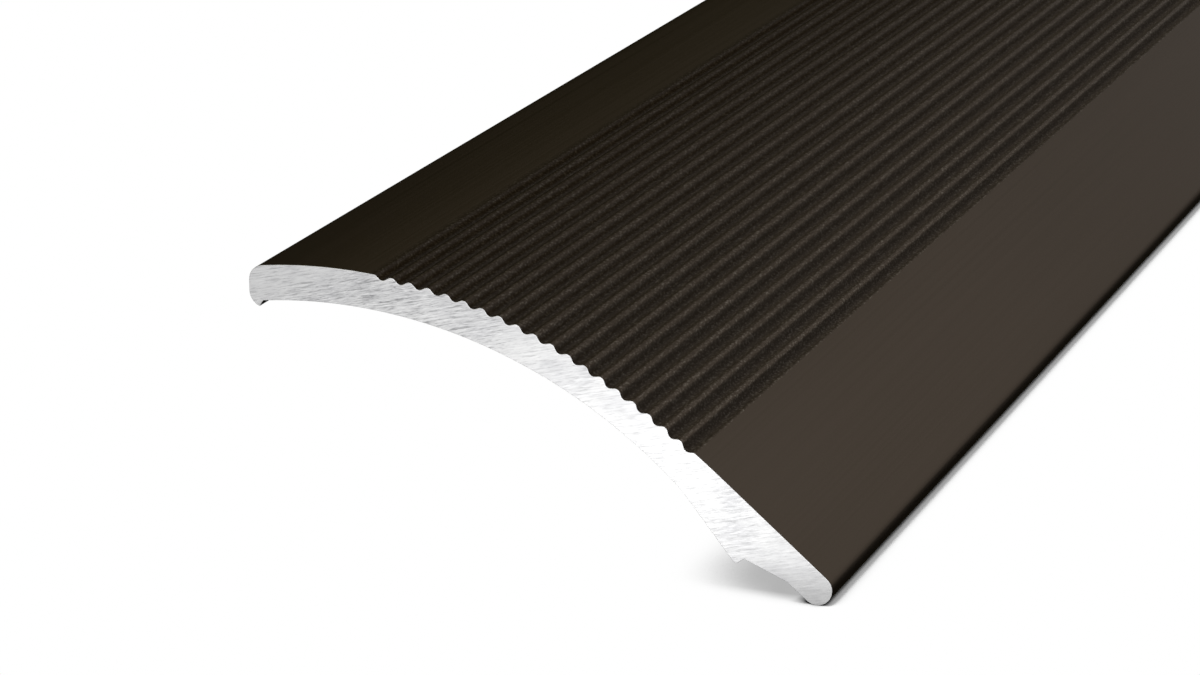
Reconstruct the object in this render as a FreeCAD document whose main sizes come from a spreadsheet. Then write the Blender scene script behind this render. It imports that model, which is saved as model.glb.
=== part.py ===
"""Self-adhesive floor levelling profile, drawn as installed at its largest step.

One aluminium extrusion bridges two floors.  Its flange is bonded flat on the upper
floor, a ridged crown turns over the floor's edge, and a plain ramp runs down to a
rounded toe on the lower floor.  A foam tape sits under the flange behind the lip and a
narrow one in the recess between heel and toe, each with a release liner on it.

Frame, in millimetres: +X down the ramp, +Y along the profile, +Z up.  The origin is the
centre of the flange's bonding face, halfway along the profile.
"""
import FreeCAD
import Part
import Sketcher
import math
import os

CELLS = [
    ("length", 900, "length of the extrusion"),
    ("tape_setback", 10, "how far the tapes end short of each cut end"),
    ("crown_radius", 36.5, "outer radius of flange and crown"),
    ("crown_height", 3.38, "top of the crown above the bonding face"),
    ("crown_reach", 18.35, "where the crown turns into the flatter shoulder"),
    ("shoulder_radius", 68.5, "outer radius of the shoulder"),
    ("ramp_angle", 39.5, "fall of the ramp, degrees"),
    ("plate_thickness", 2.42, "metal under the top of the crown"),
    ("vault_radius", 35.6, "inner radius of the arched underside"),
    ("nose_reach", 5.93, "outer face of the lip from the centre of the flange"),
    ("nose_radius", 1.08, "upper and lower rounding of the lip's outer face"),
    ("lip_reach", 5.2, "edge of the lip from the centre of the flange"),
    ("lip_level", 0.2, "edge of the lip above the bonding face"),
    ("lip_slope", 57, "inner face of the lip, degrees"),
    ("base_angle", 22.15, "fall of the line through lip, heel and toe, degrees"),
    ("heel_reach", 28.43, "centre of the heel's rounding from the centre of the flange"),
    ("heel_radius", 0.3, "rounding of the heel"),
    ("heel_slope", 51.15, "fall of the heel's inner face, degrees"),
    ("toe_radius", 1.05, "rounding of the toe"),
    ("recess_depth", 0.55, "recess between heel and toe"),
    ("recess_width", 3.15, "roof of the recess"),
    ("recess_slope", 60, "recess wall at the heel, from the base line, degrees"),
    ("groove_pitch", 1.31, "spacing of the grooves along the outside"),
    ("groove_depth", 0.30, "valley below crest"),
    ("groove_slope", 38, "degrees, the straight walls of the grooves"),
    ("groove_start", 3.75, "first groove from the top of the crown, along the outside"),
    ("crown_grooves", 12, "grooves in the crown"),
    ("shoulder_grooves", 7, "grooves in the shoulder"),
    ("crest_rise", 0.012, "wave above the crest, which leaves each crest a narrow flat"),
    ("tape_width", 9, "flange tape"),
    ("liner_thickness", 0.1, "release liners"),
    ("foot_tape_width", 3, "foot tape"),
    ("foot_tape_thickness", 0.4, "foot tape"),
    ("foot_tape_reach", 36.75, "near edge of the foot tape from the lip, along the base line"),
]

X_AXIS, Y_AXIS = -1, -2
START, END, CENTRE = 1, 2, 3
SLACK = 1.0

doc = FreeCAD.newDocument("levelling_profile")
sheet = doc.addObject("Spreadsheet::Sheet", "sizes")
size = {}
for row, (alias, value, note) in enumerate(CELLS, start=1):
    sheet.set(f"A{row}", note)
    sheet.set(f"B{row}", str(value))
    sheet.setAlias(f"B{row}", alias)
    size[alias] = value
doc.recompute()


def vector(x, y):
    return FreeCAD.Vector(x, y, 0)


def make_body(name):
    body = doc.addObject("PartDesign::Body", name)
    body.Label = name
    return body


def make_sketch(body, name):
    """A sketch on the body's XZ plane: its x is +X and its y is +Z."""
    sketch = body.newObject("Sketcher::SketchObject", name)
    planes = body.Origin.OriginFeatures
    section_plane = next(plane for plane in planes if plane.Role == "XZ_Plane")
    sketch.AttachmentSupport = (section_plane, [""])
    sketch.MapMode = "FlatFace"
    return sketch


def shift_sketch(sketch, across, up, turn):
    """Move a sketch's own origin and turn it; the arguments are expressions."""
    sketch.AttachmentOffset = FreeCAD.Placement(vector(0, 0), FreeCAD.Rotation(vector(0, 0), 0))
    sketch.setExpression("AttachmentOffset.Base.x", across)
    sketch.setExpression("AttachmentOffset.Base.y", up)
    sketch.setExpression("AttachmentOffset.Rotation.Yaw", turn)


def line(sketch, start, end, construction=False):
    return sketch.addGeometry(Part.LineSegment(vector(*start), vector(*end)), construction)


def arc(sketch, centre, radius, start_angle, end_angle):
    """Counter-clockwise arc; the angles are in degrees."""
    circle = Part.Circle(vector(*centre), FreeCAD.Vector(0, 0, 1), radius)
    span = math.radians(start_angle), math.radians(end_angle)
    return sketch.addGeometry(Part.ArcOfCircle(circle, *span))


def hold(sketch, kind, *where):
    return sketch.addConstraint(Sketcher.Constraint(kind, *where))


def drive(sketch, name, expression, kind, *where):
    """A dimension bound to the sheet; where ends with its first value."""
    index = hold(sketch, kind, *where)
    sketch.renameConstraint(index, name)
    sketch.setExpression(f"Constraints.{name}", expression)


def pad_along(body, sketch, name, length):
    pad = body.newObject("PartDesign::Pad", name)
    pad.Profile = sketch
    pad.SideType = "Symmetric"
    pad.setExpression("Length", length)
    sketch.Visibility = False
    return pad


def draw_section(sketch):
    """The extrusion's outline, drawn from near its final place and then constrained."""
    crown_centre = (0, size["crown_height"] - size["crown_radius"])
    vault_centre = (0, size["crown_height"] - size["plate_thickness"] - size["vault_radius"])
    nose = size["nose_radius"]

    crown = arc(sketch, crown_centre, size["crown_radius"], 60, 98)
    shoulder = arc(sketch, (-16, -61), size["shoulder_radius"], 50.5, 60)
    ramp = line(sketch, (27.6, -8), (34.7, -13.8))
    toe = arc(sketch, (34, -14.6), size["toe_radius"], -128, 50.5)
    toe_slope = line(sketch, (33.4, -15.4), (31.9, -14.3))
    roof = line(sketch, (31.9, -14.3), (29, -13.1))
    heel_wall = line(sketch, (29, -13.1), (28.7, -13.3))
    heel = arc(sketch, (size["heel_reach"], -13.2), size["heel_radius"], 219, 308)
    heel_face = line(sketch, (24.8, -9.1), (28.2, -13.4))
    vault = arc(sketch, vault_centre, size["vault_radius"], 46, 98)
    lip_face = line(sketch, (-4.9, 0.6), (-5.2, 0.2))
    lip_round = arc(sketch, (-4.85, 1.2), nose, 180, 251)
    nose_face = line(sketch, (-5.93, 2), (-5.93, 1.2))
    nose_round = arc(sketch, (-4.85, 2), nose, 98, 180)
    base = line(sketch, (-5.2, 0.2), (34, -15.8), construction=True)

    for first, first_end, second, second_end in (
        (crown, END, nose_round, START),
        (nose_round, END, nose_face, START),
        (nose_face, END, lip_round, START),
        (crown, START, shoulder, END),
        (shoulder, START, ramp, START),
        (ramp, END, toe, END),
        (toe, START, toe_slope, START),
        (heel_wall, END, heel, END),
        (heel, START, heel_face, END),
    ):
        hold(sketch, "Tangent", first, first_end, second, second_end)
    for first, first_end, second, second_end in (
        (lip_round, END, lip_face, END),
        (lip_face, START, vault, END),
        (vault, START, heel_face, START),
        (toe_slope, END, roof, START),
        (roof, END, heel_wall, START),
        (base, START, lip_face, END),
    ):
        hold(sketch, "Coincident", first, first_end, second, second_end)
    hold(sketch, "Vertical", nose_face)
    hold(sketch, "Equal", lip_round, nose_round)
    hold(sketch, "PointOnObject", crown, CENTRE, Y_AXIS)
    hold(sketch, "PointOnObject", vault, CENTRE, Y_AXIS)
    hold(sketch, "Tangent", base, heel)
    hold(sketch, "Tangent", base, toe)
    hold(sketch, "Parallel", base, roof)
    hold(sketch, "Vertical", base, END, toe, CENTRE)

    for name, edge in (
        ("crown_radius", crown),
        ("shoulder_radius", shoulder),
        ("vault_radius", vault),
        ("nose_radius", nose_round),
        ("heel_radius", heel),
        ("toe_radius", toe),
    ):
        drive(sketch, name, f"sizes.{name}", "Radius", edge, size[name])
    drive(sketch, "crown_drop", "sizes.crown_radius - sizes.crown_height",
          "DistanceY", crown, CENTRE, X_AXIS, START, -crown_centre[1])
    drive(sketch, "vault_drop", "sizes.vault_radius - sizes.crown_height + sizes.plate_thickness",
          "DistanceY", vault, CENTRE, X_AXIS, START, -vault_centre[1])
    drive(sketch, "crown_reach", "sizes.crown_reach",
          "DistanceX", X_AXIS, START, crown, START, size["crown_reach"])
    drive(sketch, "nose_reach", "sizes.nose_reach",
          "DistanceX", nose_face, START, X_AXIS, START, size["nose_reach"])
    drive(sketch, "lip_reach", "sizes.lip_reach",
          "DistanceX", lip_face, END, X_AXIS, START, size["lip_reach"])
    drive(sketch, "lip_level", "sizes.lip_level",
          "DistanceY", X_AXIS, START, lip_face, END, size["lip_level"])
    drive(sketch, "heel_reach", "sizes.heel_reach",
          "DistanceX", X_AXIS, START, heel, CENTRE, size["heel_reach"])
    drive(sketch, "ramp_angle", "-sizes.ramp_angle * 1 deg",
          "Angle", ramp, -math.radians(size["ramp_angle"]))
    drive(sketch, "base_angle", "-sizes.base_angle * 1 deg",
          "Angle", base, -math.radians(size["base_angle"]))
    drive(sketch, "heel_slope", "-sizes.heel_slope * 1 deg",
          "Angle", heel_face, -math.radians(size["heel_slope"]))
    drive(sketch, "lip_slope", "(sizes.lip_slope - 180) * 1 deg",
          "Angle", lip_face, math.radians(size["lip_slope"] - 180))
    drive(sketch, "recess_slope", "(sizes.recess_slope - sizes.base_angle - 180) * 1 deg",
          "Angle", heel_wall, math.radians(size["recess_slope"] - size["base_angle"] - 180))
    drive(sketch, "recess_depth", "sizes.recess_depth",
          "Distance", roof, START, base, size["recess_depth"])
    drive(sketch, "recess_width", "sizes.recess_width",
          "Distance", roof, size["recess_width"])


def draw_groove(sketch, radius_name):
    """One wave of the ridging, crest to crest, open to the air above.

    The sketch's origin is the centre of the arc that the grooves lie on.  The valley and
    the two half crests are arcs of one radius, joined by straight walls.
    """
    radius = size[radius_name]
    half = size["groove_pitch"] / 2
    rise = size["groove_depth"] + size["crest_rise"]
    lean = size["groove_slope"]
    slope = math.radians(lean)
    wall = rise * math.sin(slope) / (1 - math.cos(slope)) - half
    wave = (half - wall * math.cos(slope)) / (2 * math.sin(slope))
    reach = wave * math.sin(slope)
    drop = wave * (1 - math.cos(slope))
    crest = radius + size["crest_rise"]

    valley = arc(sketch, (0, crest - rise + wave), wave, 270 - lean, 270 + lean)
    right = arc(sketch, (half, crest - wave), wave, 90, 90 + lean)
    left = arc(sketch, (-half, crest - wave), wave, 90 - lean, 90)
    right_wall = line(sketch, (reach, crest - rise + drop), (half - reach, crest - drop))
    left_wall = line(sketch, (-reach, crest - rise + drop), (reach - half, crest - drop))
    right_side = line(sketch, (half, crest), (half, crest + SLACK))
    top = line(sketch, (half, crest + SLACK), (-half, crest + SLACK))
    left_side = line(sketch, (-half, crest + SLACK), (-half, crest))

    hold(sketch, "Tangent", valley, END, right_wall, START)
    hold(sketch, "Tangent", right_wall, END, right, END)
    hold(sketch, "Tangent", valley, START, left_wall, START)
    hold(sketch, "Tangent", left_wall, END, left, START)
    hold(sketch, "Coincident", right, START, right_side, START)
    hold(sketch, "Coincident", right_side, END, top, START)
    hold(sketch, "Coincident", top, END, left_side, START)
    hold(sketch, "Coincident", left_side, END, left, END)
    hold(sketch, "Equal", valley, right)
    hold(sketch, "Equal", valley, left)
    hold(sketch, "Vertical", right_side)
    hold(sketch, "Vertical", left_side)
    hold(sketch, "Horizontal", top)
    hold(sketch, "PointOnObject", valley, CENTRE, Y_AXIS)
    hold(sketch, "Vertical", right, START, right, CENTRE)
    hold(sketch, "Vertical", left, END, left, CENTRE)
    hold(sketch, "Horizontal", left, CENTRE, right, CENTRE)

    turn = "sizes.groove_slope * 1 deg"
    total = "(sizes.groove_depth + sizes.crest_rise)"
    drive(sketch, "wall_slope", turn, "Angle", right_wall, slope)
    drive(sketch, "wave_radius",
          f"(sizes.groove_pitch / 2 * sin({turn}) - {total} * cos({turn})) / (2 - 2 * cos({turn}))",
          "Radius", valley, wave)
    drive(sketch, "pitch", "sizes.groove_pitch",
          "DistanceX", left, CENTRE, right, CENTRE, 2 * half)
    drive(sketch, "right_half", "sizes.groove_pitch / 2",
          "DistanceX", X_AXIS, START, right, CENTRE, half)
    drive(sketch, "crest_height", f"sizes.{radius_name} + sizes.crest_rise",
          "DistanceY", X_AXIS, START, right, START, crest)
    drive(sketch, "slack", str(SLACK), "Distance", right_side, SLACK)


def cut_grooves(body, name, radius_name, centre_x, centre_z, first_angle, count):
    """A row of grooves round one of the outer arcs; the last four are expressions."""
    sketch = make_sketch(body, f"{name}_groove")
    draw_groove(sketch, radius_name)
    shift_sketch(sketch, centre_x, centre_z, f"-({first_angle}) * 1 deg")
    doc.recompute()
    before = body.Shape.Volume

    pocket = body.newObject("PartDesign::Pocket", f"{name}_first")
    pocket.Profile = sketch
    pocket.SideType = "Symmetric"
    pocket.setExpression("Length", f"sizes.length + {SLACK}")
    doc.recompute()
    one_groove = before - pocket.Shape.Volume

    row = body.newObject("PartDesign::PolarPattern", f"{name}_row")
    row.Originals = [pocket]
    row.Axis = (sketch, ["N_Axis"])
    row.Mode = "Spacing"
    row.Reversed = True
    row.setExpression("Offset", f"sizes.groove_pitch / sizes.{radius_name} * 1 rad")
    row.setExpression("Occurrences", count)
    body.Tip = row
    doc.recompute()
    share = (before - row.Shape.Volume) / one_groove
    print(f"{name}: one groove {one_groove:.1f} mm3, the row removes {share:.2f} of them")


def make_profile():
    body = make_body("profile")
    section = make_sketch(body, "section")
    draw_section(section)
    pad_along(body, section, "extrusion", "sizes.length")
    doc.recompute()

    shoulder_turn = "asin(sizes.crown_reach / sizes.crown_radius)"
    crown_run = f"sizes.crown_radius * {shoulder_turn} / 1 rad"
    gap = "(sizes.crown_radius - sizes.shoulder_radius)"
    crown_centre = "sizes.crown_height - sizes.crown_radius"
    cut_grooves(body, "crown", "crown_radius", "0", crown_centre,
                "sizes.groove_start / sizes.crown_radius * 180 / pi", "sizes.crown_grooves")
    next_groove = "sizes.groove_start + sizes.crown_grooves * sizes.groove_pitch"
    cut_grooves(body, "shoulder", "shoulder_radius",
                f"{gap} * sin({shoulder_turn})",
                f"{crown_centre} + {gap} * cos({shoulder_turn})",
                f"{shoulder_turn} / 1 deg + ({next_groove} - {crown_run})"
                " / sizes.shoulder_radius * 180 / pi",
                "sizes.shoulder_grooves")
    return body


def make_flange_tape():
    """Foam tape: it follows the vault above and is pressed flat below."""
    body = make_body("flange_tape")
    sketch = make_sketch(body, "tape_section")
    half = size["tape_width"] / 2
    vault_top = size["crown_height"] - size["plate_thickness"]
    centre = (0, vault_top - size["vault_radius"])
    lean = math.degrees(math.asin(half / size["vault_radius"]))
    level = size["liner_thickness"]

    upper = arc(sketch, centre, size["vault_radius"], 90 - lean, 90 + lean)
    left = line(sketch, (-half, 0.6), (-half, level))
    lower = line(sketch, (-half, level), (half, level))
    right = line(sketch, (half, level), (half, 0.6))
    hold(sketch, "Coincident", upper, END, left, START)
    hold(sketch, "Coincident", left, END, lower, START)
    hold(sketch, "Coincident", lower, END, right, START)
    hold(sketch, "Coincident", right, END, upper, START)
    hold(sketch, "Horizontal", lower)
    hold(sketch, "Vertical", left)
    hold(sketch, "Vertical", right)
    hold(sketch, "PointOnObject", upper, CENTRE, Y_AXIS)
    drive(sketch, "vault_radius", "sizes.vault_radius", "Radius", upper, size["vault_radius"])
    drive(sketch, "vault_drop", "sizes.vault_radius - sizes.crown_height + sizes.plate_thickness",
          "DistanceY", upper, CENTRE, X_AXIS, START, -centre[1])
    drive(sketch, "width", "sizes.tape_width", "Distance", lower, 2 * half)
    drive(sketch, "half", "sizes.tape_width / 2",
          "DistanceX", X_AXIS, START, lower, END, half)
    drive(sketch, "level", "sizes.liner_thickness",
          "DistanceY", X_AXIS, START, lower, END, level)
    pad_along(body, sketch, "strip", "sizes.length - 2 * sizes.tape_setback")
    return body


def make_strip(name, left, bottom, width, thickness):
    """A flat strip; the last four are pairs of an expression and its first value."""
    body = make_body(name)
    sketch = make_sketch(body, "strip_section")
    x, z = left[1], bottom[1]
    w, t = width[1], thickness[1]
    corners = [(x, z), (x + w, z), (x + w, z + t), (x, z + t)]
    edges = [line(sketch, corners[i], corners[(i + 1) % 4]) for i in range(4)]
    for i in range(4):
        hold(sketch, "Coincident", edges[i], END, edges[(i + 1) % 4], START)
        hold(sketch, "Vertical" if i % 2 else "Horizontal", edges[i])
    drive(sketch, "left", left[0], "DistanceX", X_AXIS, START, edges[0], START, x)
    drive(sketch, "bottom", bottom[0], "DistanceY", X_AXIS, START, edges[0], START, z)
    drive(sketch, "width", width[0], "Distance", edges[0], w)
    drive(sketch, "thickness", thickness[0], "Distance", edges[1], t)
    pad_along(body, sketch, "strip", "sizes.length - 2 * sizes.tape_setback")
    return body, sketch


def make_flange_liner():
    width = size["tape_width"]
    body, sketch = make_strip(
        "flange_liner",
        ("-sizes.tape_width / 2", -width / 2),
        ("0", 0),
        ("sizes.tape_width", width),
        ("sizes.liner_thickness", size["liner_thickness"]),
    )
    return body


def make_foot_strip(name, rise, thickness):
    """A strip in the recess, drawn along the base line from the edge of the lip."""
    body, sketch = make_strip(
        name,
        ("sizes.foot_tape_reach", size["foot_tape_reach"]),
        rise,
        ("sizes.foot_tape_width", size["foot_tape_width"]),
        thickness,
    )
    shift_sketch(sketch, "-sizes.lip_reach", "sizes.lip_level", "-sizes.base_angle * 1 deg")
    return body


def make_foot_tape():
    thickness = size["foot_tape_thickness"]
    return make_foot_strip(
        "foot_tape",
        ("sizes.recess_depth - sizes.foot_tape_thickness", size["recess_depth"] - thickness),
        ("sizes.foot_tape_thickness", thickness),
    )


def make_foot_liner():
    thickness = size["liner_thickness"]
    below = size["recess_depth"] - size["foot_tape_thickness"] - thickness
    return make_foot_strip(
        "foot_liner",
        ("sizes.recess_depth - sizes.foot_tape_thickness - sizes.liner_thickness", below),
        ("sizes.liner_thickness", thickness),
    )


def check_model(bodies):
    for item in doc.Objects:
        if "Invalid" in item.State or "Error" in item.State:
            raise RuntimeError(f"{item.Name} failed: {item.State}")
        if item.TypeId == "Sketcher::SketchObject" and not item.FullyConstrained:
            raise RuntimeError(f"{item.Name} isn't fully constrained")
    for body in bodies:
        shape = body.Shape
        if shape.isNull() or not shape.isValid() or len(shape.Solids) != 1:
            raise RuntimeError(f"{body.Label} isn't one valid solid")


bodies = [
    make_profile(),
    make_flange_tape(),
    make_flange_liner(),
    make_foot_tape(),
    make_foot_liner(),
]
doc.recompute()
check_model(bodies)

os.makedirs("parts", exist_ok=True)
for body in bodies:
    body.Shape.exportStep(f"parts/{body.Label}.step")
    box = body.Shape.BoundBox
    print(f"{body.Label}: {body.Shape.Volume:.1f} mm3, X {box.XMin:.2f} to {box.XMax:.2f},"
          f" Z {box.ZMin:.2f} to {box.ZMax:.2f}")
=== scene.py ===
"""Looks of the self-adhesive floor levelling profile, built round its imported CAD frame.

The anodised extrusion, its two foam tapes and their release liners are swept as fine
meshes in place of the plain CAD solids.  +X runs down the ramp, +Y along the profile and
+Z up.  The section is worked out in millimetres, and everything in Blender is in metres.
"""

import math
import random

import bmesh
import bpy
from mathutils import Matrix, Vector


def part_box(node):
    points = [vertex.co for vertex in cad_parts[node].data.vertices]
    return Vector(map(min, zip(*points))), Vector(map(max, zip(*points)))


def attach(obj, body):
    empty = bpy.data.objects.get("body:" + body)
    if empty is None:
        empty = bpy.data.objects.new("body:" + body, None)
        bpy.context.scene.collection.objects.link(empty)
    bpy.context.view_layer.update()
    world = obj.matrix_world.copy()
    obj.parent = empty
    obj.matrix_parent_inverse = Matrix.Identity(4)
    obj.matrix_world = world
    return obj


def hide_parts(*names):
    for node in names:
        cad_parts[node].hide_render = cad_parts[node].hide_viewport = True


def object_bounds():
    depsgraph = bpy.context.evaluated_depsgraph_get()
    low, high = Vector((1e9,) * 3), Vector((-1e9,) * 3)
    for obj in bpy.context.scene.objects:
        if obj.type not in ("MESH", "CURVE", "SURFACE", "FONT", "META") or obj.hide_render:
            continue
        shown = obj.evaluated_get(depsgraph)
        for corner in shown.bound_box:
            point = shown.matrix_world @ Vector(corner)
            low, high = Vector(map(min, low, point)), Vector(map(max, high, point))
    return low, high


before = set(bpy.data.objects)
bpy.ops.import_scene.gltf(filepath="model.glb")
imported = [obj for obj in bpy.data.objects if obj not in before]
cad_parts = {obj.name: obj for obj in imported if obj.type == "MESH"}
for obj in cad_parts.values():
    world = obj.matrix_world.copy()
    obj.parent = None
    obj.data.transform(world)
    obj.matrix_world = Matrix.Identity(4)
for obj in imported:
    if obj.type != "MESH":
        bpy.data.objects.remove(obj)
cad_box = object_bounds()

# A millimetre, in metres.
MM = 0.001

# The section's driving sizes, in millimetres and degrees, as the CAD model has them.
CROWN_RADIUS = 36.5
CROWN_HEIGHT = 3.38
CROWN_REACH = 18.35
SHOULDER_RADIUS = 68.5
RAMP_ANGLE = 39.5
PLATE_THICKNESS = 2.42
VAULT_RADIUS = 35.6
NOSE_REACH = 5.93
NOSE_RADIUS = 1.08
LIP_EDGE = (-5.2, 0.2)
LIP_SLOPE = 57
BASE_ANGLE = 22.15
HEEL_REACH = 28.43
HEEL_RADIUS = 0.3
HEEL_SLOPE = 51.15
TOE_RADIUS = 1.05
RECESS_DEPTH = 0.55
RECESS_WIDTH = 3.15
RECESS_SLOPE = 60
GROOVE_PITCH = 1.31
GROOVE_DEPTH = 0.30
GROOVE_START = 3.75
GROOVES = 19
GROOVE_SLOPE = 38
CREST_RISE = 0.012

# Painted shading in the ridging: a factor in the film's colour that stands in for light and
# shade.  Each pair is for the first and the last groove: the factor where the painted shade
# is darkest, how far uphill of the valley that is, as a share of the pitch, and the painted
# shade of the groove as a whole, which is darker near the lip.
PAINTED_SHADING_DARKEST = (0.34, 0.54)
PAINTED_SHADING_LIGHTEST = 1.36
PAINTED_SHADING_SHIFT = (0.16, 0.08)
PAINTED_SHADING_SHARPNESS = 0.8
PAINTED_GROOVE_SHADE = (0.74, 0.92)

# A point's finish and shading is its lift, from 0 in a valley to 1 on a crest, its painted
# shading, a colour factor that stands in for light and shade, and its etch, which is 1 in the
# ridging.  This is the finish and shading of the plain surfaces, which have no painted shade.
FINISH_AND_SHADING_NAMES = ("lift", "painted_shading", "etch")
PLAIN_FINISH_AND_SHADING = (1.0, 1.0, 0.0)

# How finely the section is divided, in millimetres.
GROOVE_STEPS = 18
FINE_STEP = 0.08
COARSE_STEP = 0.5
EDGE_BREAK = 0.02
SEGMENT = 50

# A face of the profile that looks along Y by more than this is part of a cut end.
END_FACING = 0.1

# Tapes and liners, in millimetres.
TAPE_BULGE = 0.07
FOOT_TAPE_BULGE = 0.04
TAPE_SEGMENT = 2.5
TAPE_WANDER = 0.02
LINER_CORNER = 0.8

# The liners' corners are rounded in turns of this many degrees.
CORNER_TURN = 10

# Colours are red, green, blue and alpha.
WHITE = (1.0, 1.0, 1.0, 1.0)
BLACK = (0.0, 0.0, 0.0, 1.0)

# Nearly all of a noise lies in this span.
NOISE_SPAN = (0.3, 0.7)

# The anodised film.  A cell is the size of a noise's features in X, Y and Z, in metres.  A
# span is the part of a noise or an attribute that is graded over.
DIE_LINE_CELL = (0.00016, 0.11, 0.00016)
GRAIN_CELL = (0.00009, 0.00014, 0.00009)
SPECKLE_CELL = (0.00014, 0.00024, 0.00014)
CLOUD_CELL = (0.012, 0.07, 0.012)
DIE_LINE_SHARE = 0.55
BROWNS = ((0.0520, 0.0420, 0.0330, 1.0), (0.0600, 0.0480, 0.0380, 1.0))
DARK_SPECKLE = 0.36
GLINT_SPAN = (0.54, 0.72)
GLINT_STRENGTH = 0.5
GLINT_COLOUR = (0.15, 0.135, 0.115, 1.0)
# Over this span of the painted shading, the painted shade is tinted warmer where it is darker.
PAINTED_SHADE_HUE_SPAN = (0.2, 0.5)
PAINTED_SHADE_HUE = (1.0, 0.85, 0.55, 1.0)
FILM_ROUGHNESS = (0.33, 0.39)
GRAIN_ROUGHNESS = (-0.03, 0.03)
VALLEY_LIFT_SPAN = (0.0, 0.9)
VALLEY_ROUGHNESS = 0.38
PLAIN_RELIEF = 0.3
FILM_SPECULAR_TINT = (0.45, 0.45, 0.45, 1.0)

# The saw-cut ends.  The marks run at this angle from +X towards +Z, and their cells are
# sizes along and across them.  They fade over a stretch of X, and over a stretch of Z the
# toe's tip is painted darker, a painted shade near the floor; both stretches are in metres.
SAW_ANGLE = 14
LONG_MARK_CELL = (0.0020, 0.00013, 1)
SHORT_MARK_CELL = (0.0006, 0.00008, 1)
DULL_CELL = (0.0022, 1, 0.0016)
PATCH_CELL = (0.0075, 1, 0.0055)
METALS = ((0.69, 0.69, 0.70, 1.0), (0.80, 0.80, 0.80, 1.0))
DARK_MARK_SPAN = (0.37, 0.50)
DARK_MARK = (0.33, 0.33, 0.34, 1.0)
BRIGHT_MARK_SPAN = (0.53, 0.64)
BRIGHT_MARK = (0.97, 0.97, 0.97, 1.0)
PATCH_SPAN = (0.42, 0.58)
PATCH_STRENGTH = (0.5, 1.0)
FADE_STRETCH = (0.004, 0.022)
MARKS_FADE = (1.0, 0.45)
TOE_STRETCH = (-0.0156, -0.0128)
PAINTED_TOE_SHADE = (0.58, 1.0)
CUT_ROUGHNESS = (0.58, 0.42)

# The foam of the tapes.  Its cells are lighter in the middle than at their walls.
FOAM_CELL = (0.00022, 0.00022, 0.00022)
FOAM_MOTTLE_CELL = (0.002, 0.006, 0.002)
FOAM_GREYS = ((0.56, 0.56, 0.54, 1.0), (0.68, 0.68, 0.66, 1.0))
FOAM_WALL = (0.40, 0.40, 0.39, 1.0)
FOAM_WALL_SPAN = (0.1, 0.7)
FOAM_WALL_STRENGTH = 0.35
FOAM_ROUGH_SPAN = (0.0, 0.8)
FOAM_ROUGHNESS = (0.78, 0.95)

# The release film.
DRAG_CELL = (0.0008, 0.05, 0.0008)
LINER_MOTTLE_CELL = (0.004, 0.009, 0.004)
LINER_CREAMS = ((0.74, 0.69, 0.55, 1.0), (0.84, 0.80, 0.68, 1.0))
LINER_ROUGHNESS = (0.26, 0.4)

# The camera, in metres: where it stands, how it looks down, and how it is turned.
CAMERA_PLACE = (0.10757, -0.67924, 0.07652)
CAMERA_DROP = 17.146
CAMERA_TURN = 21.118
CAMERA_LENS = 120
CAMERA_CLIP = 0.01
SENSOR_WIDTH = 36

# The floor and its shade.  A stretch is in metres, and a span is of ambient occlusion,
# which is low close to the profile.  The contact shade lies along the toe and starts over a
# stretch of X; the soft one starts and fades over stretches of Y, counted from the near end.
FLOOR_SIZE = 12
CONTACT_DISTANCE = 0.0028
CONTACT_CORE_SPAN = (0.24, 0.37)
CONTACT_CORE = (1.0, 0.64)
CONTACT_RIM_SPAN = (0.43, 0.62)
CONTACT_STRETCH = (0.0315, 0.0331)
SOFT_DISTANCE = 0.007
SOFT_SPAN = (0.25, 0.75)
SOFT_SHADE = 0.55
SOFT_STRETCH = (-0.0008, 0.0014)
SOFT_FADE_STRETCH = (0.006, 0.014)
SOFT_FADE = (1.0, 0.35)

# The studio that the metal sees, over the parts of a direction: its depth is its Y, its
# height is its Z, and its side is how far it leans up to the right as a share of its
# length across the profile, which is never taken as less than the least here.
SIDE = (0.766, 0, 0.643)
LEAST_ACROSS = 0.05
SKY_SIDES = (-0.465, 0.976)
SKY_BRIGHTNESS = 1.42
FALL_SIDES = (-0.46, -0.04)
BACK_DEPTHS = (0.86, 0.96)
BACK_DIMMING = (1.0, 0.82)
FLAG_STRENGTH = 0.7
HORIZON_HEIGHTS = (-0.14, 0.08)
FRONT_DEPTHS = (-0.35, -0.8)
FRONT_BRIGHTNESS = 0.78
LEAST_LIGHT = 0.02
WARM_SIDES = (-0.25, 0.5)
WARM_TINT = (1.0, 0.86, 0.22, 1.0)
NEUTRAL_DEPTHS = (0.0, -0.5)

# The small softboxes before the cut ends, in metres and watts.  Out is how far past the end
# one stands along Y; place and aim are in X and Z, and the aim lies in the end's plane.
FAR_SOFTBOX = {
    "out": 0.06, "place": (0.010, -0.003), "aim": (0.016, -0.004),
    "size": (0.06, 0.03), "power": 0.03,
}
NEAR_SOFTBOX = {
    "out": -0.036, "place": (0.0132, -0.018), "aim": (0.0272, -0.008),
    "size": (0.02, 0.01), "power": 0.0027,
}


# --- the section -----------------------------------------------------------------------

def polar(centre, radius, lean):
    """The point at radius from centre; lean is its angle from straight up towards +X."""
    return Vector((centre[0] + radius * math.sin(lean), centre[1] + radius * math.cos(lean)))


def arc_points(centre, radius, first, last, step):
    """Points on an arc from one lean to another, no further apart than step."""
    count = max(3, math.ceil(abs(last - first) * radius / step))
    return [polar(centre, radius, first + (last - first) * i / count) for i in range(count + 1)]


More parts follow.
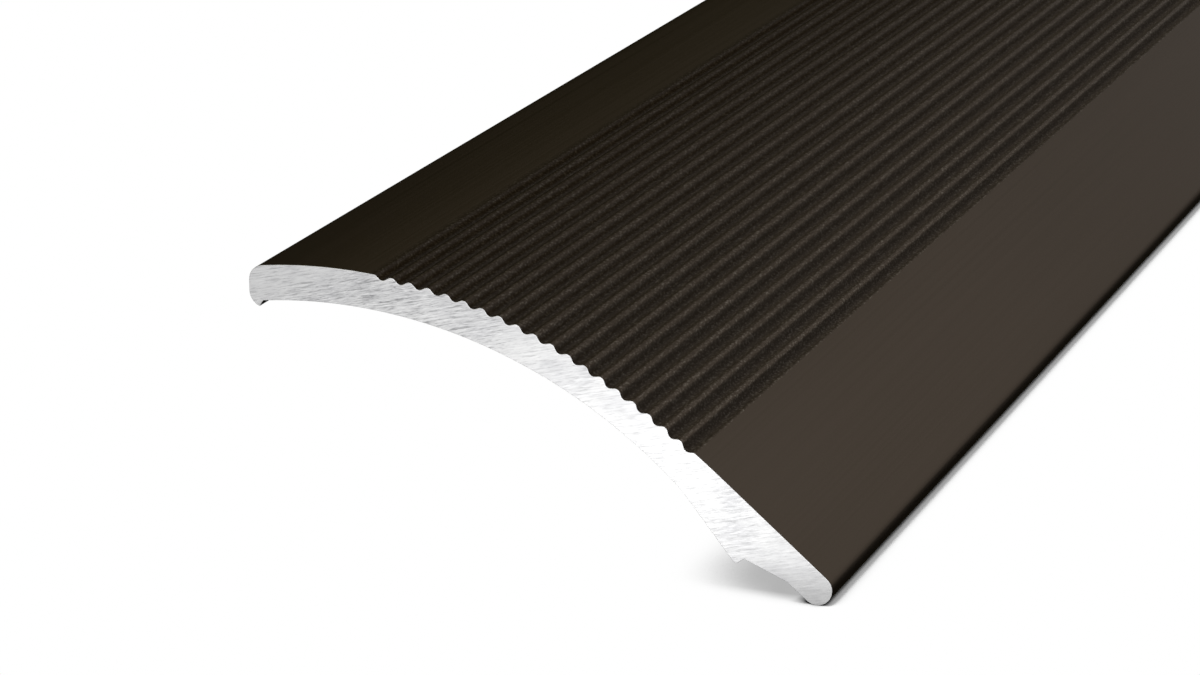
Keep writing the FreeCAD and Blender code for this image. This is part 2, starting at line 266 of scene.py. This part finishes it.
def meet_circle(start, direction, centre, radius):
    """Where a ray from inside a circle crosses it."""
    offset = Vector(start) - Vector(centre)
    half = offset.dot(direction)
    reach = -half + math.sqrt(half ** 2 - offset.length_squared + radius ** 2)
    return Vector(start) + reach * Vector(direction)


def lean_of(point, centre):
    """The point's angle from straight up towards +X, seen from centre."""
    return math.atan2(point[0] - centre[0], point[1] - centre[1])


def between(pair, share):
    """The value at share of the way from the pair's first to its second."""
    return pair[0] + (pair[1] - pair[0]) * share


def ridge_height(distance):
    """The ridging's height over the plain outside, at this distance from a valley.

    It is never above the outside.  Valley and crest are arcs of one radius, joined by a
    straight wall.
    """
    slope = math.radians(GROOVE_SLOPE)
    half = GROOVE_PITCH / 2
    rise = GROOVE_DEPTH + CREST_RISE
    wall = rise * math.sin(slope) / (1 - math.cos(slope)) - half
    radius = (half - wall * math.cos(slope)) / (2 * math.sin(slope))
    reach = radius * math.sin(slope)
    if distance <= reach:
        height = CREST_RISE - rise + radius - math.sqrt(radius ** 2 - distance ** 2)
    elif distance < half - reach:
        foot = CREST_RISE - rise + radius * (1 - math.cos(slope))
        height = foot + (distance - reach) * math.tan(slope)
    else:
        height = CREST_RISE - radius + math.sqrt(radius ** 2 - (half - distance) ** 2)
    return min(height, 0)


def crest_wave(pitches):
    """A wave that is 1 on the crests, at whole pitches, and 0 in the valleys."""
    return 0.5 + 0.5 * math.cos(2 * math.pi * pitches)


def ridged_outside():
    """The outside's points from the lip's rounding to the ramp, with finish and painted shading.
    """
    crown = Vector((0, CROWN_HEIGHT - CROWN_RADIUS))
    turn = math.asin(CROWN_REACH / CROWN_RADIUS)
    shoulder = polar(crown, CROWN_RADIUS - SHOULDER_RADIUS, turn)
    crown_run = CROWN_RADIUS * turn
    ramp = math.radians(RAMP_ANGLE)
    nose_turn = math.asin((NOSE_REACH - NOSE_RADIUS) / (CROWN_RADIUS - NOSE_RADIUS))

    def outside(run, height=0):
        if run <= crown_run:
            return polar(crown, CROWN_RADIUS + height, run / CROWN_RADIUS)
        lean = turn + (run - crown_run) / SHOULDER_RADIUS
        return polar(shoulder, SHOULDER_RADIUS + height, lean)

    first = GROOVE_START - GROOVE_PITCH / 2
    plain = math.ceil((first + CROWN_RADIUS * nose_turn) / COARSE_STEP)
    start = -CROWN_RADIUS * nose_turn
    points = [outside(start + (first - start) * i / plain) for i in range(plain)]
    finish = [PLAIN_FINISH_AND_SHADING] * plain
    for i in range(GROOVES * GROOVE_STEPS + 1):
        share = i / GROOVE_STEPS / GROOVES
        run = GROOVE_PITCH * i / GROOVE_STEPS
        distance = abs(run % GROOVE_PITCH - GROOVE_PITCH / 2)
        points.append(outside(first + run, ridge_height(distance)))
        lift = crest_wave(i / GROOVE_STEPS)
        # Painted shading: darkest on the wall that faces down the ramp, just uphill of each
        # valley, lightest on the crest and the wall that faces the lip, and darker towards the
        # lip as a whole, standing in for light and shade.
        light = crest_wave(i / GROOVE_STEPS + between(PAINTED_SHADING_SHIFT, share)) ** PAINTED_SHADING_SHARPNESS
        painted_shading = between((between(PAINTED_SHADING_DARKEST, share), PAINTED_SHADING_LIGHTEST), light)
        finish.append((lift, painted_shading * between(PAINTED_GROOVE_SHADE, math.sqrt(share)), 1.0))
    finish[-1] = PLAIN_FINISH_AND_SHADING

    last = first + GROOVE_PITCH * GROOVES
    end_run = crown_run + SHOULDER_RADIUS * (ramp - turn)
    tail = math.ceil((end_run - last) / COARSE_STEP)
    points += [outside(last + (end_run - last) * i / tail) for i in range(1, tail + 1)]
    finish += [PLAIN_FINISH_AND_SHADING] * tail
    return points, finish


def section_outline():
    """The whole outline in millimetres, clockwise from the lip's edge, and its finish and
    painted shading.
    """
    ridging, finish = ridged_outside()
    ramp_start = ridging[-1]
    ramp, base, heel_slope, recess, lip_slope = (
        math.radians(angle)
        for angle in (RAMP_ANGLE, BASE_ANGLE, HEEL_SLOPE, RECESS_SLOPE, LIP_SLOPE)
    )
    lip = Vector(LIP_EDGE)
    along = Vector((math.cos(base), -math.sin(base)))
    above = Vector((math.sin(base), math.cos(base)))

    nose_x = NOSE_RADIUS - NOSE_REACH
    lip_centre = (nose_x, lip.y + math.sqrt(NOSE_RADIUS ** 2 - (lip.x - nose_x) ** 2))
    nose_drop = math.sqrt((CROWN_RADIUS - NOSE_RADIUS) ** 2 - nose_x ** 2)
    nose_centre = (nose_x, CROWN_HEIGHT - CROWN_RADIUS + nose_drop)
    nose_turn = math.atan2(nose_x, nose_drop)

    ramp_up = Vector((math.sin(ramp), math.cos(ramp)))
    toe_run = (ramp_start - lip - TOE_RADIUS * above).dot(ramp_up) - TOE_RADIUS
    toe = lip + TOE_RADIUS * above + toe_run / along.dot(ramp_up) * along

    heel_run = (HEEL_REACH - lip.x - HEEL_RADIUS * above.x) / along.x
    heel = lip + heel_run * along + HEEL_RADIUS * above
    wall_rise = RECESS_DEPTH - HEEL_RADIUS * (1 - math.cos(recess))
    roof_run = heel_run + HEEL_RADIUS * math.sin(recess) + wall_rise / math.tan(recess)
    roof_heel = lip + roof_run * along + RECESS_DEPTH * above
    roof_toe = roof_heel + RECESS_WIDTH * along
    to_toe = toe - roof_toe
    toe_slope = math.atan2(to_toe.y, to_toe.x) - math.asin(TOE_RADIUS / to_toe.length)

    vault = (0, CROWN_HEIGHT - PLATE_THICKNESS - VAULT_RADIUS)
    heel_face = polar(heel, HEEL_RADIUS, math.pi + heel_slope)
    heel_up = Vector((-math.cos(heel_slope), math.sin(heel_slope)))
    lip_up = Vector((math.cos(lip_slope), math.sin(lip_slope)))
    vault_heel = lean_of(meet_circle(heel_face, heel_up, vault, VAULT_RADIUS), vault)
    vault_lip = lean_of(meet_circle(lip, lip_up, vault, VAULT_RADIUS), vault)

    nose = (
        arc_points(lip_centre, NOSE_RADIUS, lean_of(lip, lip_centre), -math.pi / 2, FINE_STEP)
        + arc_points(nose_centre, NOSE_RADIUS, -math.pi / 2, nose_turn, FINE_STEP)
    )
    rest = (
        arc_points(toe, TOE_RADIUS, ramp, math.pi - toe_slope, FINE_STEP)
        + [roof_toe, roof_heel]
        + arc_points(heel, HEEL_RADIUS, math.pi - recess + base, math.pi + heel_slope,
                     FINE_STEP / 2)
        + arc_points(vault, VAULT_RADIUS, vault_heel, vault_lip, COARSE_STEP)
    )
    finish = [PLAIN_FINISH_AND_SHADING] * len(nose) + finish[1:] + [PLAIN_FINISH_AND_SHADING] * len(rest)
    return nose + ridging[1:] + rest, finish


# --- meshes ----------------------------------------------------------------------------

def shrunk(outline, inset):
    """A clockwise outline moved inwards, each point along the mean of its two edges' normals."""
    points = []
    for i, point in enumerate(outline):
        before = (point - outline[i - 1]).normalized()
        after = (outline[(i + 1) % len(outline)] - point).normalized()
        inward = Vector((before.y + after.y, -before.x - after.x)).normalized()
        points.append(point + inset * inward)
    return points


def add_object(name, data):
    """A new object, linked into the scene."""
    made = bpy.data.objects.new(name, data)
    bpy.context.scene.collection.objects.link(made)
    return made


def sweep(name, rings, smooth_below=30):
    """A closed skin through rings, a list of (outline, place along Y), with capped ends.

    The outlines and places are in millimetres, and each outline runs clockwise as seen
    from the end at -Y.
    """
    build = bmesh.new()
    rows = [
        [build.verts.new((point[0] * MM, place * MM, point[1] * MM)) for point in outline]
        for outline, place in rings
    ]
    for near, far in zip(rows, rows[1:]):
        for i in range(len(near)):
            corners = (near[i - 1], near[i], far[i], far[i - 1])
            build.faces.new(corners).smooth = True
    build.faces.new(rows[0][::-1])
    build.faces.new(rows[-1])
    bmesh.ops.recalc_face_normals(build, faces=build.faces)
    mesh = bpy.data.meshes.new(name)
    build.to_mesh(mesh)
    build.free()
    mesh.set_sharp_from_angle(angle=math.radians(smooth_below))
    return add_object(name, mesh)


def span_of(node):
    """A CAD node's lowest and highest corner, in millimetres."""
    low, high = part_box(node)
    return low / MM, high / MM


def places(first, last, step):
    """Evenly spaced places from first to last, no further apart than step."""
    count = max(1, math.ceil((last - first) / step))
    return [first + (last - first) * i / count for i in range(count + 1)]


def make_profile(skin, cut):
    """The extrusion; its cut ends and their broken edges are bare metal."""
    low, high = span_of("profile")
    outline, finish = section_outline()
    ends = shrunk(outline, EDGE_BREAK)
    stations = places(low.y + EDGE_BREAK, high.y - EDGE_BREAK, SEGMENT)
    rings = [(ends, low.y)] + [(outline, place) for place in stations] + [(ends, high.y)]
    piece = sweep("profile_extrusion", rings)
    piece.data.materials.append(skin)
    piece.data.materials.append(cut)
    # The attributes carry the finish and the painted shading, a colour factor that stands in for
    # light and shade in the ridging.
    for name, values in zip(FINISH_AND_SHADING_NAMES, zip(*finish)):
        piece.data.attributes.new(name, "FLOAT", "POINT")
        piece.data.attributes[name].data.foreach_set("value", values * len(rings))
    for face in piece.data.polygons:
        if abs(face.normal.y) > END_FACING:
            face.material_index = 1
    return piece


def strip_outline(width, bottom, top, bulge):
    """A tape's section, clockwise: flat below, bulging sides, top a function of x."""
    half = width / 2
    steps = 6
    side = [i / steps for i in range(1, steps)]
    left = [
        (-half - bulge * math.sin(math.pi * t), bottom + (top(-half) - bottom) * t)
        for t in side
    ]
    right = [(-x, z) for x, z in reversed(left)]
    across = places(-half, half, COARSE_STEP)
    upper = [(x, top(x)) for x in across]
    lower = [(x, bottom) for x in reversed(across)]
    return [Vector(point) for point in left + upper + right + lower]


def make_tape(name, node, width, bottom, top, bulge, place_point, seed):
    """A foam tape whose slit edges wander a little along its length."""
    low, high = span_of(node)
    wander = random.Random(seed)
    rings = []
    for along in places(low.y, high.y, TAPE_SEGMENT):
        left, right = (wander.uniform(-1, 1) * TAPE_WANDER for _ in range(2))
        outline = []
        for point in strip_outline(width, bottom, top, bulge):
            shift = left if point.x < 0 else right
            outline.append(place_point(point.x + shift * abs(point.x) / (width / 2), point.y))
        rings.append((outline, along))
    return sweep(name, rings, smooth_below=50)


def make_liner(name, node, width, bottom, thickness, place_point):
    """A release liner: a thin film with rounded corners and softened edges."""
    low, high = span_of(node)
    rings = []
    turns = [math.radians(angle) for angle in range(0, 90 + CORNER_TURN, CORNER_TURN)]
    near = [(LINER_CORNER * (1 - math.sin(t)), LINER_CORNER * (1 - math.cos(t))) for t in turns]
    stations = [(inset, low.y + run) for inset, run in near]
    straight = places(low.y + LINER_CORNER, high.y - LINER_CORNER, SEGMENT)
    stations += [(0, place) for place in straight[1:-1]]
    stations += [(inset, high.y - run) for inset, run in reversed(near)]
    top = bottom + thickness
    soft = thickness / 4
    for inset, along in stations:
        half = width / 2 - inset
        corners = [
            (-half, bottom + soft), (-half, top - soft),
            (-half + soft, top), (half - soft, top),
            (half, top - soft), (half, bottom + soft),
            (half - soft, bottom), (-half + soft, bottom),
        ]
        rings.append(([Vector(place_point(x, z)) for x, z in corners], along))
    return sweep(name, rings, smooth_below=60)


# --- materials -------------------------------------------------------------------------

class Nodes:
    """Builds a shader node tree: each call adds to it and returns an output."""

    def __init__(self, tree):
        self.tree = tree

    def add(self, kind, inputs=None, output=0, **settings):
        node = self.tree.nodes.new(kind)
        for name, value in settings.items():
            setattr(node, name, value)
        for name, value in (inputs or {}).items():
            socket = node.inputs[name]
            if isinstance(value, bpy.types.NodeSocket):
                self.tree.links.new(value, socket)
            else:
                socket.default_value = value
        return node.outputs[output]

    def place(self):
        return self.add("ShaderNodeTexCoord", output="Object")

    def part(self, vector, axis):
        return self.add("ShaderNodeSeparateXYZ", {"Vector": vector}, output=axis)

    def along(self, vector, direction):
        return self.add("ShaderNodeVectorMath", {0: vector, 1: direction}, output="Value",
                        operation="DOT_PRODUCT")

    def scaled(self, vector, cell):
        """The place counted in cells of this size."""
        return self.add("ShaderNodeVectorMath", {0: vector, 1: tuple(1 / size for size in cell)},
                        operation="MULTIPLY")

    def noise(self, vector, cell, detail, roughness=0.5, distortion=0.0):
        inputs = {"Vector": self.scaled(vector, cell), "Scale": 1.0, "Detail": detail,
                  "Roughness": roughness, "Distortion": distortion}
        return self.add("ShaderNodeTexNoise", inputs)

    def ranged(self, value, span, results=(0.0, 1.0), smooth=False):
        """The value's way through span, as one through results; it stays within both."""
        inputs = {"Value": value, "From Min": span[0], "From Max": span[1],
                  "To Min": results[0], "To Max": results[1]}
        kind = "SMOOTHSTEP" if smooth else "LINEAR"
        return self.add("ShaderNodeMapRange", inputs, interpolation_type=kind)

    def math(self, operation, first, second):
        return self.add("ShaderNodeMath", {0: first, 1: second}, operation=operation)

    def product(self, first, second):
        return self.math("MULTIPLY", first, second)

    def blended(self, first, second, share):
        """The sum of both, with first counted by share and second by the rest."""
        return self.math("ADD", self.product(first, share), self.product(second, 1 - share))

    def mixed(self, factor, first, second):
        return self.add("ShaderNodeMix", {0: factor, 6: first, 7: second}, output=2,
                        data_type="RGBA")

    def tinted(self, first, second):
        return self.add("ShaderNodeMix", {0: 1.0, 6: first, 7: second}, output=2,
                        data_type="RGBA", blend_type="MULTIPLY")

    def attribute(self, name):
        return self.add("ShaderNodeAttribute", output="Fac", attribute_name=name)

    def occlusion(self, distance):
        return self.add("ShaderNodeAmbientOcclusion", {"Distance": distance}, output="AO")

    def bump(self, height, distance, strength, below=None):
        inputs = {"Height": height, "Distance": distance, "Strength": strength}
        if below is not None:
            inputs["Normal"] = below
        return self.add("ShaderNodeBump", inputs)


def material(name, build, **constants):
    """A Principled material; build returns its linked sockets, constants its plain ones."""
    made = bpy.data.materials.new(name)
    made.use_nodes = True
    tree = made.node_tree
    shader = tree.nodes["Principled BSDF"]
    for socket, value in constants.items():
        shader.inputs[socket.replace("_", " ")].default_value = value
    for socket, output in build(Nodes(tree)).items():
        tree.links.new(output, shader.inputs[socket])
    return made


def anodised(nodes):
    """Dark bronze anodised film, with die lines along it and slow changes of shade.

    The profile's finish rules the ridging: the film carries painted shading, darker in
    the valleys and on their downhill walls and lighter on the crests, as light and shade
    would fall; its valleys are rougher, and its etched surface is speckled and grainier.
    """
    here = nodes.place()
    die_lines = nodes.noise(here, DIE_LINE_CELL, detail=3)
    grain = nodes.noise(here, GRAIN_CELL, detail=2)
    cloud = nodes.noise(here, CLOUD_CELL, detail=1)
    speckle = nodes.noise(here, SPECKLE_CELL, detail=2)
    lift, painted_shading, etch = (nodes.attribute(name) for name in FINISH_AND_SHADING_NAMES)

    shade = nodes.blended(die_lines, cloud, DIE_LINE_SHARE)
    brown = nodes.mixed(nodes.ranged(shade, NOISE_SPAN), *BROWNS)
    dark = nodes.product(nodes.ranged(speckle, NOISE_SPAN, (DARK_SPECKLE, 0.0)), etch)
    brown = nodes.mixed(dark, brown, BLACK)
    glint = nodes.product(nodes.ranged(speckle, GLINT_SPAN, (0.0, GLINT_STRENGTH)), etch)
    bright = nodes.mixed(glint, brown, GLINT_COLOUR)
    # Painted shading: the film's colour is multiplied by the factor that stands in for light and
    # shade in the grooves, and tinted warmer where that painted shade is darkest.
    painted_shade_hue = nodes.mixed(nodes.ranged(painted_shading, PAINTED_SHADE_HUE_SPAN), PAINTED_SHADE_HUE, WHITE)
    base = nodes.tinted(bright, nodes.tinted(painted_shade_hue, painted_shading))

    rough = nodes.math("ADD", nodes.ranged(die_lines, NOISE_SPAN, FILM_ROUGHNESS),
                       nodes.ranged(grain, NOISE_SPAN, GRAIN_ROUGHNESS))
    valley = nodes.ranged(lift, VALLEY_LIFT_SPAN, (VALLEY_ROUGHNESS, 0.0))
    rough = nodes.math("ADD", rough, valley)
    lines = nodes.bump(die_lines, distance=0.000004, strength=0.5)
    relief = nodes.product(grain, nodes.ranged(etch, (0.0, 1.0), (PLAIN_RELIEF, 1.0)))
    etched = nodes.bump(relief, distance=0.000006, strength=0.45, below=lines)
    return {"Base Color": base, "Roughness": rough, "Normal": etched}


def saw_cut(nodes):
    """Bare aluminium as the saw left it: short uneven marks, nearly parallel.

    The marks come in patches and are weaker towards the toe, and the toe's tip is painted
    darker, as painted shade near the floor.
    """
    here = nodes.place()
    lean = math.radians(SAW_ANGLE)
    along = nodes.along(here, (math.cos(lean), 0, math.sin(lean)))
    across = nodes.along(here, (-math.sin(lean), 0, math.cos(lean)))
    turned = nodes.add("ShaderNodeCombineXYZ", {"X": along, "Y": across})
    long_marks = nodes.noise(turned, LONG_MARK_CELL, detail=3, roughness=0.6, distortion=0.5)
    short_marks = nodes.noise(turned, SHORT_MARK_CELL, detail=3, roughness=0.65, distortion=0.6)
    marks = nodes.blended(long_marks, short_marks, 0.5)
    dull = nodes.noise(here, DULL_CELL, detail=2)
    patch = nodes.noise(here, PATCH_CELL, detail=1)

    fade = nodes.ranged(nodes.part(here, "X"), FADE_STRETCH, MARKS_FADE)
    strength = nodes.product(nodes.ranged(patch, PATCH_SPAN, PATCH_STRENGTH), fade)
    dark = nodes.ranged(marks, DARK_MARK_SPAN, (1.0, 0.0))
    bright = nodes.ranged(marks, BRIGHT_MARK_SPAN)
    base = nodes.mixed(nodes.ranged(dull, NOISE_SPAN), *METALS)
    base = nodes.mixed(nodes.product(dark, strength), base, DARK_MARK)
    base = nodes.mixed(nodes.product(bright, strength), base, BRIGHT_MARK)
    # Painted shade: the cut end is darkened towards the toe's tip, close to the floor.
    base = nodes.tinted(base, nodes.ranged(nodes.part(here, "Z"), TOE_STRETCH, PAINTED_TOE_SHADE))
    return {"Base Color": base, "Roughness": nodes.ranged(marks, NOISE_SPAN, CUT_ROUGHNESS),
            "Normal": nodes.bump(marks, distance=0.00002, strength=0.35)}


def foam(nodes):
    """Closed-cell foam: pale grey, matt, with fine cells."""
    here = nodes.place()
    cells = nodes.add("ShaderNodeTexVoronoi",
                      {"Vector": nodes.scaled(here, FOAM_CELL), "Scale": 1.0},
                      output="Distance")
    mottle = nodes.noise(here, FOAM_MOTTLE_CELL, detail=3)
    base = nodes.mixed(nodes.ranged(mottle, NOISE_SPAN), *FOAM_GREYS)
    wall = nodes.ranged(cells, FOAM_WALL_SPAN, (0.0, FOAM_WALL_STRENGTH))
    base = nodes.mixed(wall, base, FOAM_WALL)
    return {"Base Color": base,
            "Roughness": nodes.ranged(cells, FOAM_ROUGH_SPAN, FOAM_ROUGHNESS),
            "Normal": nodes.bump(cells, distance=0.00005, strength=0.6)}


def film(nodes):
    """Siliconised release film: milky, with a slight drag of the coating along it."""
    here = nodes.place()
    drag = nodes.noise(here, DRAG_CELL, detail=3)
    mottle = nodes.noise(here, LINER_MOTTLE_CELL, detail=2)
    blend = nodes.blended(drag, mottle, 0.5)
    return {"Base Color": nodes.mixed(nodes.ranged(blend, NOISE_SPAN), *LINER_CREAMS),
            "Roughness": nodes.ranged(drag, NOISE_SPAN, LINER_ROUGHNESS),
            "Normal": nodes.bump(blend, distance=0.00003, strength=0.25)}


# --- the pieces ------------------------------------------------------------------------

def flat_place(x, z):
    """Leaves a strip's points where they are: the flange tape lies level."""
    return (x, z)


def foot_place(x, z):
    """Turns a point into the toe's slope, counted from the middle of the foot tape."""
    base = math.radians(BASE_ANGLE)
    low, high = span_of("foot_tape")
    middle = ((low.x + high.x) / 2, (low.z + high.z) / 2)
    return (middle[0] + x * math.cos(base) + z * math.sin(base),
            middle[1] - x * math.sin(base) + z * math.cos(base))


def strip_sizes(node, lean):
    """Width and thickness of a CAD strip that is turned by lean in the section."""
    low, high = span_of(node)
    wide, tall = high.x - low.x, high.z - low.z
    cosine, sine = math.cos(lean), math.sin(lean)
    spread = cosine ** 2 - sine ** 2
    return (wide * cosine - tall * sine) / spread, (tall * cosine - wide * sine) / spread


def build_pieces():
    """All five pieces, each on its body and in place of its CAD node."""
    skin = material("dark_bronze_anodised", anodised, Metallic=1.0,
                    Specular_Tint=FILM_SPECULAR_TINT)
    cut = material("saw_cut_aluminium", saw_cut, Metallic=1.0)
    pale_foam = material("foam_tape", foam)
    pale_film = material("release_film", film, Coat_Weight=0.2, Coat_Roughness=0.2)

    profile = make_profile(skin, cut)
    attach(profile, "profile")
    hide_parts("profile")

    low, high = span_of("flange_tape")
    vault_level = CROWN_HEIGHT - PLATE_THICKNESS - VAULT_RADIUS

    def under_vault(x):
        return vault_level + math.sqrt(VAULT_RADIUS ** 2 - x ** 2)

    flange_tape = make_tape("flange_tape_foam", "flange_tape", high.x - low.x, low.z,
                            under_vault, TAPE_BULGE, flat_place, seed=3)
    low, high = span_of("flange_liner")
    flange_liner = make_liner("flange_liner_film", "flange_liner", high.x - low.x, low.z,
                              high.z - low.z, flat_place)

    base = math.radians(BASE_ANGLE)
    width, tape = strip_sizes("foot_tape", base)

    def flat_top(x):
        return tape / 2

    foot_tape = make_tape("foot_tape_foam", "foot_tape", width, -tape / 2,
                          flat_top, FOOT_TAPE_BULGE, foot_place, seed=5)
    width, thickness = strip_sizes("foot_liner", base)
    foot_liner = make_liner("foot_liner_film", "foot_liner", width, -tape / 2 - thickness,
                            thickness, foot_place)

    for piece, node, body, slot, finish in (
        (flange_tape, "flange_tape", "profile", "foam_tape", pale_foam),
        (foot_tape, "foot_tape", "profile", "foam_tape", pale_foam),
        (flange_liner, "flange_liner", "flange_liner", "release_film", pale_film),
        (foot_liner, "foot_liner", "foot_liner", "release_film", pale_film),
    ):
        piece.data.materials.append(finish)
        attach(piece, body)
        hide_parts(node)


# --- studio ----------------------------------------------------------------------------

def make_floor(level, end):
    """A floor that is white but for the profile's own shade; end is the near end's Y."""
    half = FLOOR_SIZE / 2
    mesh = bpy.data.meshes.new("floor")
    corners = [(-half, -half, 0), (half, -half, 0), (half, half, 0), (-half, half, 0)]
    mesh.from_pydata(corners, [], [(0, 1, 2, 3)])
    floor = add_object("floor", mesh)
    floor.location.z = level
    floor.visible_diffuse = False
    floor.visible_glossy = False
    floor.visible_shadow = False

    made = bpy.data.materials.new("pale_floor")
    made.use_nodes = True
    tree = made.node_tree
    tree.nodes.clear()
    nodes = Nodes(tree)
    here = nodes.place()
    across = nodes.part(here, "X")
    along = nodes.part(here, "Y")

    near = nodes.occlusion(CONTACT_DISTANCE)
    core = nodes.ranged(near, CONTACT_CORE_SPAN, CONTACT_CORE)
    rim = nodes.ranged(near, CONTACT_RIM_SPAN, (1.0, 0.0), smooth=True)
    contact = nodes.product(nodes.math("MINIMUM", core, rim),
                            nodes.ranged(across, CONTACT_STRETCH))

    wide = nodes.occlusion(SOFT_DISTANCE)
    soft = nodes.ranged(wide, SOFT_SPAN, (SOFT_SHADE, 0.0), smooth=True)
    behind = nodes.ranged(along, [end + place for place in SOFT_STRETCH])
    fade = nodes.ranged(along, [end + place for place in SOFT_FADE_STRETCH], SOFT_FADE)
    soft = nodes.product(soft, nodes.product(behind, fade))

    light = nodes.math("SUBTRACT", 1.0, nodes.math("MAXIMUM", contact, soft))
    glow = nodes.add("ShaderNodeEmission", {"Color": WHITE, "Strength": light})
    out = tree.nodes.new("ShaderNodeOutputMaterial")
    tree.links.new(glow, out.inputs["Surface"])
    mesh.materials.append(made)


def make_world():
    """White for the eye; for the metal, a soft studio that is bright in front and right.

    The sky brightens to the right and falls off to the left and below the horizon.  At the
    back it is dimmer, and a flag there shades its left.
    """
    world = bpy.data.worlds.new("studio")
    bpy.context.scene.world = world
    world.use_nodes = True
    tree = world.node_tree
    tree.nodes.clear()
    nodes = Nodes(tree)
    way = nodes.add("ShaderNodeTexCoord", output="Generated")
    height = nodes.part(way, "Z")
    depth = nodes.part(way, "Y")
    across = nodes.math("SUBTRACT", 1.0, nodes.product(depth, depth))
    across = nodes.math("MAXIMUM", nodes.math("POWER", across, 0.5), LEAST_ACROSS)
    side = nodes.math("DIVIDE", nodes.along(way, SIDE), across)

    sky = nodes.product(nodes.ranged(side, SKY_SIDES, (0.0, SKY_BRIGHTNESS)),
                        nodes.ranged(side, FALL_SIDES, smooth=True))
    sky = nodes.product(sky, nodes.ranged(depth, BACK_DEPTHS, BACK_DIMMING))
    flag = nodes.product(nodes.ranged(side, (0.0, 1.0), (FLAG_STRENGTH, 0.0)),
                         nodes.ranged(depth, BACK_DEPTHS, smooth=True))
    sky = nodes.product(sky, nodes.math("SUBTRACT", 1.0, flag))
    sky = nodes.product(sky, nodes.ranged(height, HORIZON_HEIGHTS, smooth=True))
    front = nodes.ranged(depth, FRONT_DEPTHS, (0.0, FRONT_BRIGHTNESS), smooth=True)
    lit = nodes.math("MAXIMUM", nodes.math("ADD", sky, front), LEAST_LIGHT)

    warm = nodes.mixed(nodes.ranged(side, WARM_SIDES), WARM_TINT, WHITE)
    tint = nodes.mixed(nodes.ranged(depth, NEUTRAL_DEPTHS), warm, WHITE)
    lighting = nodes.add("ShaderNodeBackground", {"Color": tint, "Strength": lit})
    white = nodes.add("ShaderNodeBackground", {"Color": WHITE, "Strength": 1.0})
    eye = nodes.add("ShaderNodeLightPath", output="Is Camera Ray")
    both = nodes.add("ShaderNodeMixShader", {0: eye, 1: lighting, 2: white})
    out = tree.nodes.new("ShaderNodeOutputWorld")
    tree.links.new(both, out.inputs["Surface"])


def make_softbox(name, end, out, place, aim, size, power):
    """A rectangular area light, hidden from the camera; end is the Y of its cut end."""
    light = bpy.data.lights.new(name, "AREA")
    light.shape = "RECTANGLE"
    light.size, light.size_y = size
    light.energy = power
    lamp = add_object(name, light)
    stand = Vector((place[0], end + out, place[1]))
    target = Vector((aim[0], end, aim[1]))
    lamp.location = stand
    lamp.rotation_euler = (target - stand).to_track_quat("-Z", "Y").to_euler()
    lamp.visible_camera = False


def make_camera():
    lens = bpy.data.cameras.new("camera")
    lens.lens = CAMERA_LENS
    lens.sensor_width = SENSOR_WIDTH
    lens.clip_start = CAMERA_CLIP
    camera = add_object("camera", lens)
    camera.location = CAMERA_PLACE
    camera.rotation_euler = (math.radians(90 - CAMERA_DROP), 0, math.radians(CAMERA_TURN))
    bpy.context.scene.camera = camera


make_camera()
build_pieces()
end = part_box("profile")[0].y
make_floor(cad_box[0].z, end)
make_world()
far_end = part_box("profile")[1].y
make_softbox("far_end_light", far_end, **FAR_SOFTBOX)
make_softbox("end_light", end, **NEAR_SOFTBOX)
bpy.context.scene.view_settings.view_transform = "Standard"
